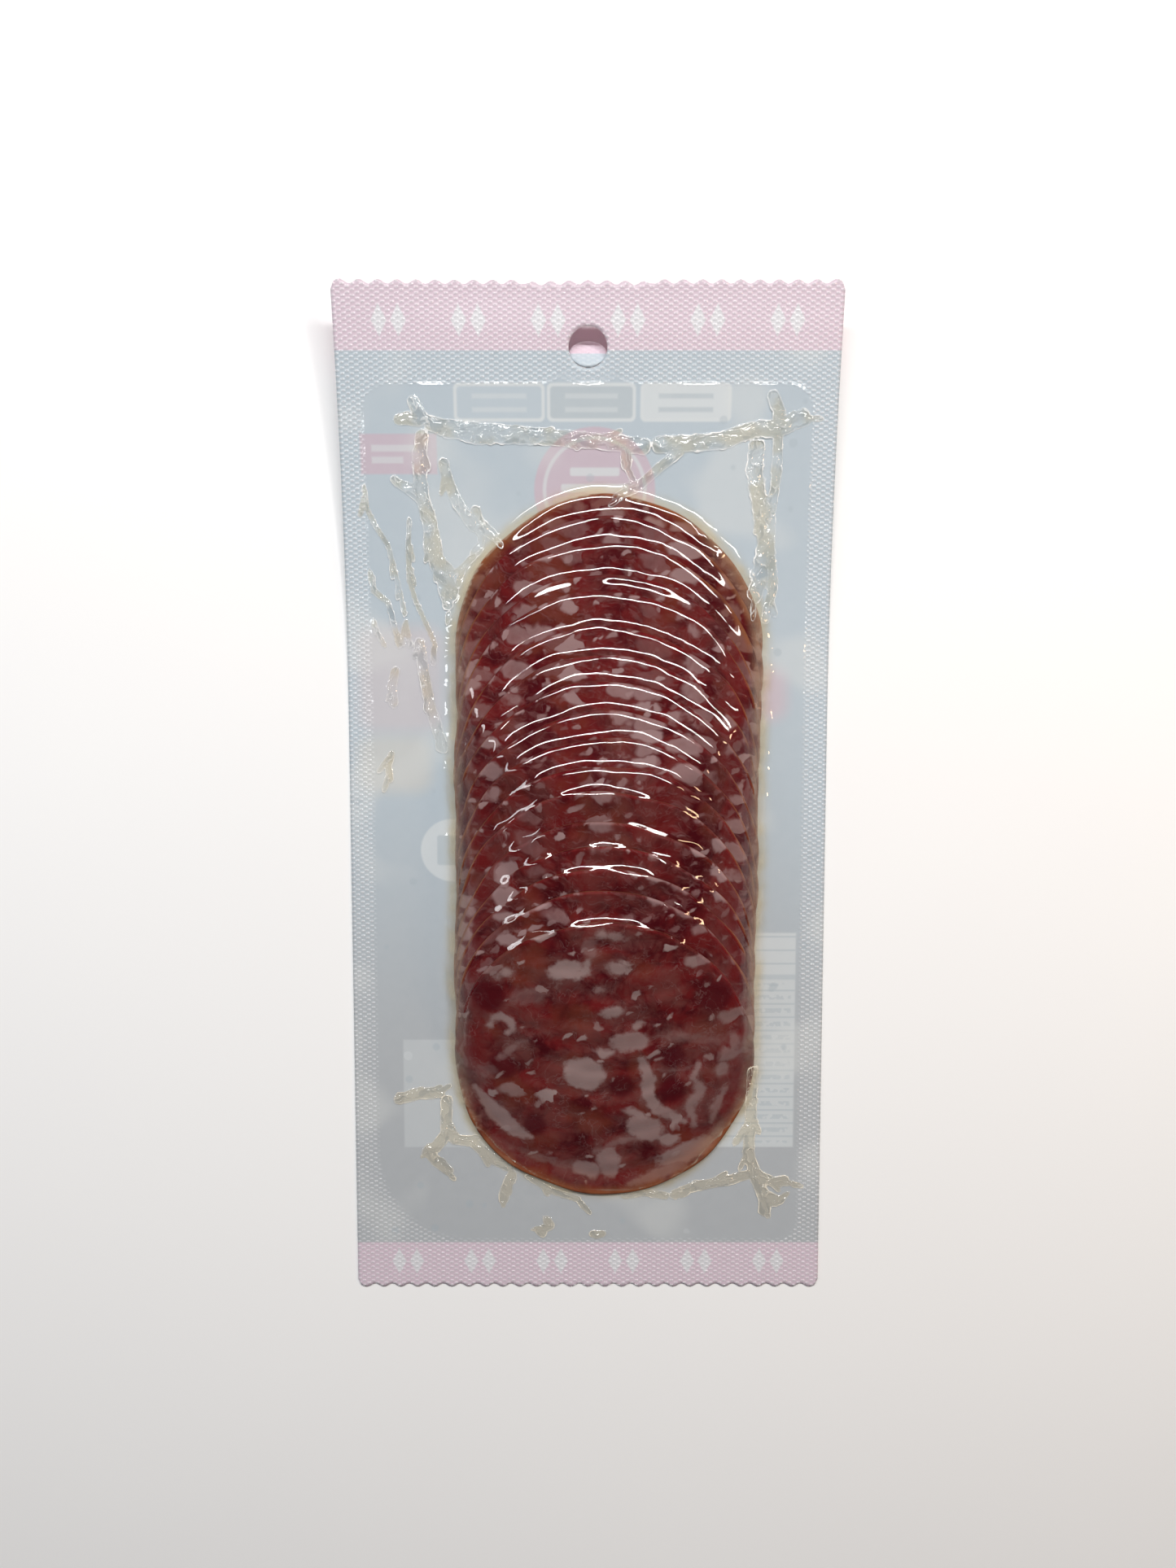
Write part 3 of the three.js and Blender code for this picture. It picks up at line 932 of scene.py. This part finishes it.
def outer_film_material():
    """The printed outside of the back film, seen from below."""
    m = Material("back_film_outside")
    vector, x, y = m.place()
    ground = (0.34, 0.46, 0.54)
    white = (0.84, 0.85, 0.84)
    dark = (0.07, 0.09, 0.13)
    pink = (0.78, 0.36, 0.47)
    colour = print_colour(m, x, y, ground, pink, white, dark)
    colour = m.lay(colour, (printed_specks(m, vector), 0.5, (0.20, 0.28, 0.35)))
    colour = end_bands(m, x, y, colour, pink, white)
    grain = m.noise(vector, 0.5, 4.0, 0.6)
    colour = m.lay(colour, (grain, 0.1, (0.9, 0.9, 0.9)))
    dots = m.mul(knurl(m, x, y), m.attribute("seal"))
    height = m.add(m.mul(dots, -0.6), m.mul(grain, 0.25))
    rough = m.add(0.22, m.mul(grain, 0.15))
    normal = m.bump(height, 0.12, 0.8)
    return m.surface({"Base Color": colour, "Roughness": rough, "Normal": normal})


def clear_film_material():
    """Clear film: mostly see-through and glossy, creamy where juice is caught, milky where sealed, with
    painted highlights: white lines along the folds and glints on the seal's dots.
    """
    m = Material("clear_film")
    vector, x, y = m.place()
    fold = m.attribute("fold")
    seal = m.attribute("seal")
    juice = m.attribute("juice")
    route = m.attribute("route", "Vector")
    facets = m.warp(m.stretch(route, (1.0, 0.22, 1.0)), 0.8, 0.5)
    facet = m.cells(facets, 0.9)
    border = m.cells(facets, 0.9, "DISTANCE_TO_EDGE").outputs["Distance"]
    within = m.step(fold, 0.22, 0.45)
    fine = m.noise(vector, 0.3)
    wobble = m.noise(vector, 0.45, 3.0, 0.6)
    level = m.add(0.02, m.mul(wobble, 0.6))
    outline = m.step(m.math("ABSOLUTE", m.sub(fold, level)), 0.085, 0.02)
    crease = m.mul(m.step(border, 0.06, 0.01), within)
    # Painted highlights: thin white lines along the folds' edges and creases, brighter in patches;
    # creased film also whitens a little.
    lit = m.step(fine, 0.42, 0.64)
    lines = m.mul(m.highest(m.mul(crease, 0.45), outline), m.add(0.22, m.mul(lit, 0.70)))
    dots = m.mul(knurl(m, x, y), seal)
    height = m.mul(within, m.add(m.mul(facet.outputs["Distance"], 1.6), m.mul(crease, 0.8)))
    height = m.add(height, m.mul(fine, m.add(0.05, m.mul(seal, 0.3))))
    height = m.add(height, m.mul(dots, 0.8))
    normal = m.bump(height, 0.18, 1.0)
    patchy = m.step(m.noise(vector, 0.16), 0.38, 0.62)
    lower = m.step(y, 30.0, -30.0)
    wet = m.mul(juice, m.add(0.45, m.mul(patchy, 0.5)))
    creamy = m.highest(wet, m.mul(within, m.add(0.05, m.mul(m.highest(lower, patchy), 0.35))))
    tint = m.mix(creamy, (0.99, 0.99, 0.99), (0.97, 0.88, 0.70))
    # Painted shade: some facets of the folds let less light through, standing in for the dark bands
    # that refraction gives.
    shade = m.mul(within, m.step(m.tones(facet)[0], 0.50, 0.75))
    tint = m.lay(tint, (shade, 0.35, (0.62, 0.65, 0.66)))
    see_through = m.node("BsdfTransparent", {"Color": tint})
    haze = m.node("BsdfDiffuse", {"Color": (0.80, 0.70, 0.54)})
    # Milky dots where sealed: partly the seal's own whitening, partly a painted glint on each knurl
    # dot.
    milky = m.node("BsdfDiffuse", {"Color": (0.90, 0.90, 0.92)})
    # The white of the painted highlights on the folds, creamier lower down.
    painted_glint = m.node("BsdfDiffuse", {"Color": m.mix(lower, (0.97, 0.97, 0.96), (0.95, 0.88, 0.74))})
    hazy = m.highest(m.mul(creamy, 0.20), m.mul(wet, 0.35))
    body = m.blend(hazy, see_through, haze)
    cloudy_and_glints = m.blend(m.mul(dots, 0.28), m.blend(lines, body, painted_glint), milky)
    shine = {"Color": (1.0, 1.0, 1.0), "Roughness": m.add(0.04, m.mul(seal, 0.14)), "Normal": normal}
    gloss = m.node("BsdfGlossy", shine)
    facing = m.node("LayerWeight", {"Blend": 0.5, "Normal": normal}).outputs["Facing"]
    mirrored = m.add(0.045, m.mul(m.math("POWER", facing, 5.0), 0.5))
    return m.finish(m.blend(mirrored, cloudy_and_glints, gloss))


def turned(m, vector, turn, squeeze):
    """The vector turned about the sausage's length and drawn out, for slanting pieces."""
    rotated = m.node("VectorRotate", {"Vector": vector, "Angle": turn}, rotation_type="Z_AXIS")
    return m.stretch(rotated.outputs[0], squeeze)


def fat_pieces(m, vector, scale, share, radius, soft):
    """Rounded pieces of fat: how much each point shows, and how white its piece is."""
    cell = m.cells(vector, scale)
    chance, clearness, bulk = m.tones(cell)
    chosen = m.math("GREATER_THAN", chance, m.sub(1.0, share))
    size = m.mul(radius, m.add(0.75, m.mul(bulk, 0.45)))
    inside = m.sub(size, cell.outputs["Distance"])
    shown = m.mul(m.mul(chosen, m.step(inside, 0.0, soft)), m.add(0.5, m.mul(clearness, 0.5)))
    return shown, m.mul(shown, clearness)


def lean_colour(m, place, bent, curled, grain):
    """The lean: two dark reds, browner and smokier in places, paler next to the listed fat."""
    hue = m.noise(bent, 0.12, 3.0, 0.6)
    lean = m.mix(m.step(hue, 0.38, 0.60), (0.062, 0.002, 0.005), (0.135, 0.009, 0.010))
    brown = m.step(m.noise(place, 0.085), 0.50, 0.66)
    smoke = m.step(m.noise(curled, 0.14, 4.0, 0.65), 0.42, 0.66)
    patchy = m.step(m.noise(curled, 0.30, 4.0, 0.65), 0.40, 0.62)
    near_fat = m.mul(m.step(m.attribute("chunk"), -3.4, 0.4), patchy)
    return m.lay(
        lean,
        (brown, 0.6, (0.155, 0.034, 0.018)),
        (m.step(grain, 0.48, 0.72), 0.3, (0.165, 0.036, 0.034)),
        (smoke, m.add(0.35, m.mul(on_top_slice(m), 0.15)), (0.165, 0.060, 0.052)),
        (near_fat, 0.5, (0.185, 0.082, 0.074)),
        (m.attribute("dark"), 0.85, (0.070, 0.0025, 0.006)),
    )


def fat_layout(m, place, curled, frayed):
    """Where fat shows, and how white it is: pieces of two sizes, streaks and threads.

    The topmost slice has fewer of these, because its larger pieces are listed one by one.
    """
    is_top = on_top_slice(m)
    less = m.mul(is_top, 0.46)
    wide = turned(m, curled, 0.12, (0.62, 1.15, 1.0))
    large, large_white = fat_pieces(m, wide, 0.17, m.sub(0.62, less), 0.53, 0.17)
    slanted = turned(m, frayed, -0.5, (0.75, 1.35, 1.0))
    small, small_white = fat_pieces(m, slanted, 0.36, m.sub(0.52, m.mul(less, 0.8)), 0.46, 0.22)
    streaky = turned(m, curled, 0.35, (0.45, 1.7, 1.0))
    streaks = m.mul(m.step(m.noise(streaky, 0.5, 3.0, 0.6), 0.54, 0.66), m.sub(0.45, less))
    ridge = m.math("ABSOLUTE", m.sub(m.noise(curled, 0.20, 3.0, 0.6), 0.5))
    threads = m.mul(m.step(ridge, 0.016, 0.002), m.step(m.noise(place, 0.15), 0.40, 0.58))
    fine = m.highest(m.mul(streaks, 0.8), m.mul(threads, m.sub(0.35, m.mul(is_top, 0.15))))
    edge_noise = m.sub(m.noise(place, 0.5, 3.0, 0.6), 0.5)
    inside = m.add(m.attribute("chunk"), m.mul(edge_noise, 2.4))
    placed = m.mul(m.step(inside, -0.6, 0.6), m.attribute("clear"))
    fat = m.highest(m.highest(m.highest(large, small), fine), placed)
    return fat, m.highest(large_white, m.mul(small_white, 0.7))


def on_top_slice(m):
    """1 on the topmost slice, 0 on the others."""
    return m.step(m.attribute("chunk"), FAR_FROM_FAT + 0.1, FAR_FROM_FAT + 0.2)


def salami_material():
    """Cut salami: dark red lean, pink-white fat in pieces, grains and threads, and a dried rim."""
    m = Material("salami")
    place = m.attribute("sausage", "Vector")
    bent = m.warp(place, 0.12, 6.0)
    curled = m.warp(bent, 0.5, 1.6)
    frayed = m.warp(curled, 1.6, 0.6)
    grain = m.noise(frayed, 0.9, 3.0, 0.6)
    lean = lean_colour(m, place, bent, curled, grain)
    fat, white = fat_layout(m, place, curled, frayed)

    pale = m.step(m.add(m.mul(m.noise(curled, 0.45, 3.0), 0.5), white), 0.2, 0.85)
    fat_colour = m.mix(pale, (0.190, 0.085, 0.085), (0.320, 0.205, 0.205))
    whiter = m.mix(0.8, fat_colour, (0.315, 0.225, 0.215))
    fat_colour = m.mix(on_top_slice(m), fat_colour, whiter)
    rim = m.attribute("rim")
    strength = m.attribute("dried")
    yellowed = m.mul(strength, m.step(rim, 7.0, 2.0))
    fat_colour = m.lay(fat_colour, (yellowed, 0.7, (0.300, 0.140, 0.092)))
    colour = m.mix(fat, lean, fat_colour)
    reach = m.mul(strength, m.add(1.2, m.mul(m.noise(place, 0.2), 3.0)))
    band = m.sub(1.0, m.math("DIVIDE", rim, reach))
    dried = m.mul(m.step(band, 0.0, 0.9), m.step(m.noise(place, 0.12), 0.25, 0.5))
    colour = m.lay(colour, (dried, 0.8, (0.245, 0.085, 0.033)))
    height = m.add(m.mul(fat, 0.5), m.mul(grain, 0.5))
    settings = {
        "Base Color": colour,
        "Roughness": m.add(0.42, m.mul(grain, 0.2)),
        "Specular IOR Level": 0.03,
        "Subsurface Weight": 0.1,
        "Subsurface Radius": (1.0, 0.35, 0.25),
        "Subsurface Scale": 0.0012,
        "Normal": m.bump(height, 0.10, 0.5),
    }
    return m.surface(settings)


def floor_material():
    m = Material("pale_floor")
    vector, _, _ = m.place()
    tone = m.mix(m.noise(vector, 0.01), (0.90, 0.90, 0.905), (0.93, 0.93, 0.93))
    return m.surface({"Base Color": tone, "Roughness": 0.9})


def backdrop_material():
    """A wall that glows a little, as a lit studio wall does: pale at the foot, darker higher up."""
    m = Material("pale_backdrop")
    vector, _, _ = m.place()
    cloth = m.noise(vector, 0.004)
    foot = m.mix(cloth, (0.60, 0.61, 0.62), (0.64, 0.65, 0.66))
    tone = m.mix(m.attribute("up"), foot, (0.20, 0.21, 0.22))
    settings = {"Base Color": tone, "Roughness": 0.9, "Emission Color": tone, "Emission Strength": 0.22}
    return m.surface(settings)


# ---- The stage, the camera and the lights.

FLOOR_TOP = -0.15
FLOOR_REACH = 1500
WALL_RADIUS = 1400
WALL_TOP = 700


def build_backdrop():
    """A low round wall about the floor: it closes the view to the sides and leaves overhead dark."""
    angles = np.linspace(0, 2 * math.pi, 97)
    heights = np.linspace(FLOOR_TOP, WALL_TOP, 15)
    angle, z = np.meshgrid(angles, heights)
    x, y = WALL_RADIUS * np.cos(angle), WALL_RADIUS * np.sin(angle)
    vertices = point_list(x, y, z)
    wall = make_object("backdrop", vertices, grid_faces(len(heights), len(angles)))
    set_number(wall, "up", smooth(z, 80, 450))
    wall.data.materials.append(backdrop_material())


def build_floor():
    steps = np.linspace(-FLOOR_REACH, FLOOR_REACH, 13)
    x, y = np.meshgrid(steps, steps)
    vertices = point_list(x, y, 0 * x + FLOOR_TOP)
    floor = make_object("floor", vertices, grid_faces(len(steps), len(steps)))
    floor.data.materials.append(floor_material())


def build_camera():
    data = bpy.data.cameras.new("camera")
    data.lens = 26.5
    data.sensor_width = 36.0
    data.clip_start = 0.01
    camera = bpy.data.objects.new("camera", data)
    camera.location = (0, 27.8 * MM, 266.3 * MM)
    camera.rotation_euler = (math.radians(-4.7), 0, 0)
    bpy.context.scene.collection.objects.link(camera)
    bpy.context.scene.camera = camera


def area_light(name, place, target, size, power, colour):
    """An oval lamp at a place, turned to shine on a target."""
    data = bpy.data.lights.new(name, "AREA")
    data.shape = "ELLIPSE"
    data.size = size[0] * MM
    data.size_y = size[1] * MM
    data.energy = power
    data.color = colour
    light = bpy.data.objects.new(name, data)
    light.location = [value * MM for value in place]
    aim = np.array(target) - np.array(place)
    light.rotation_euler = Vector(aim).to_track_quat("-Z", "Y").to_euler()
    bpy.context.scene.collection.objects.link(light)


def build_lights():
    world = bpy.data.worlds.new("studio")
    world.use_nodes = True
    background = world.node_tree.nodes["Background"]
    background.inputs["Color"].default_value = (0.95, 0.98, 1.0, 1.0)
    background.inputs["Strength"].default_value = 0.05
    bpy.context.scene.world = world
    area_light("main_lamp", (20, 380, 600), (0, 10, 0), (760, 66), 4.7, (1.0, 0.99, 0.98))
    area_light("right_lamp", (300, 260, 520), (0, 10, 0), (170, 60), 0.75, (1.0, 0.97, 0.93))
    area_light("left_lamp", (-420, 60, 330), (0, 0, 10), (50, 300), 0.42, (0.96, 0.98, 1.0))
    area_light("warm_lamp", (430, 60, 330), (0, 0, 10), (40, 140), 0.35, (1.0, 0.66, 0.40))


# ---- Assembly.


def keep_as(piece, node):
    """Puts a piece in the place of its CAD node."""
    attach(piece, "root")
    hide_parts(node)


salami = salami_material()
for number, node in enumerate(SLICE_NAMES):
    cut = build_slice(number)
    cut.data.materials.append(salami)
    keep_as(cut, node)

inside = inner_film_material()
outside = outer_film_material()
back = build_back_film()
tab = build_hang_tab()
for sheet in (back, tab):
    sheet.data.materials.append(inside)
    sheet.data.materials.append(outside)
    thicken(sheet, BACK_THICKNESS)
    apply_modifiers(sheet)
keep_as(back, "back_film")
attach(tab, "root")

front = build_front_film()
front.data.materials.append(clear_film_material())
keep_as(front, "front_film")

build_floor()
build_backdrop()
build_camera()
build_lights()
bpy.context.scene.view_settings.view_transform = "Standard"
